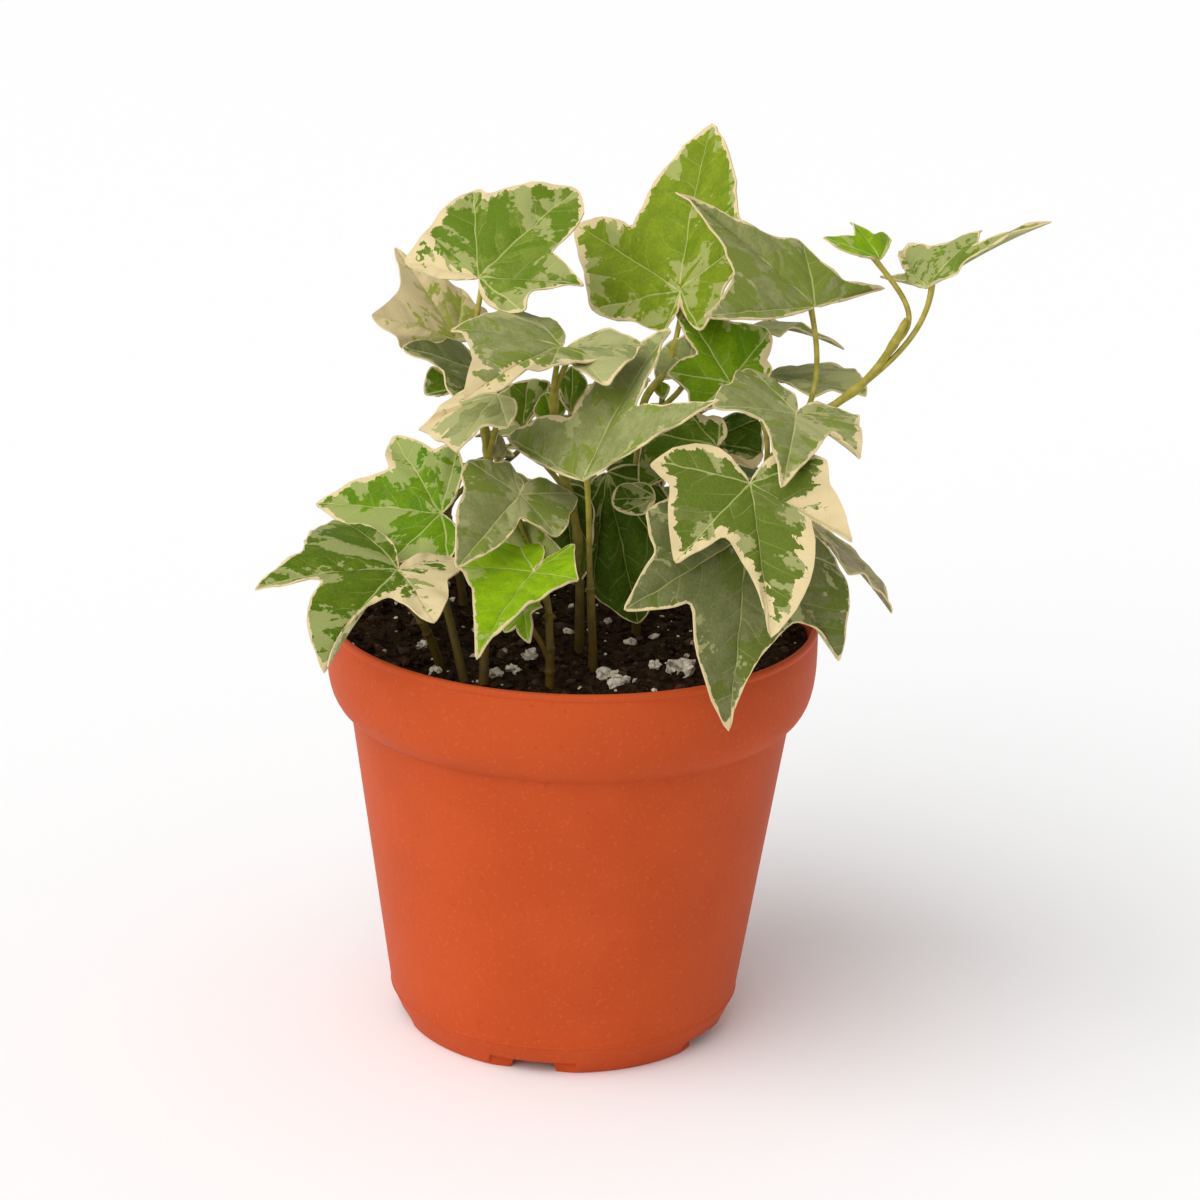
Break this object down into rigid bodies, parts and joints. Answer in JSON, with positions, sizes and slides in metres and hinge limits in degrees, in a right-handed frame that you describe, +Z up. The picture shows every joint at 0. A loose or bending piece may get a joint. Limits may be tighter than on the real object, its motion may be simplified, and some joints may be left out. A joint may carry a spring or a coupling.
{
  "type": "potted ivy plant",
  "caption": "Small variegated ivy with lobed, cream-edged leaves, growing in soil in a round terracotta-coloured plastic nursery pot.",
  "frame": {"origin": "middle of the pot's underside, on the pad under its floor", "axes": "+Z up along the pot's axis, -Y towards the front of the plant, +X to its right as seen from the front"},
  "size_m": [0.1649, 0.1364, 0.1963],
  "materials": {
    "pot": "matt moulded plastic, terracotta orange",
    "soil": "damp crumbly potting soil with pale perlite grains",
    "ivy": "satin leaf surface, mottled green with cream margins"
  },
  "bodies": {
    "root": {"pot": "pot", "soil": "soil", "ivy_stem_left_edge": "ivy", "ivy_stem_left": "ivy", "ivy_stem_tall_left": "ivy", "ivy_stem_front": "ivy", "ivy_stem_middle": "ivy", "ivy_stem_centre": "ivy", "ivy_stem_top": "ivy", "ivy_stem_runner": "ivy", "ivy_stem_right": "ivy", "ivy_stem_right_low": "ivy", "ivy_stem_back_left": "ivy", "ivy_stem_back": "ivy", "ivy_stem_back_right": "ivy"}
  },
  "joints": []
}
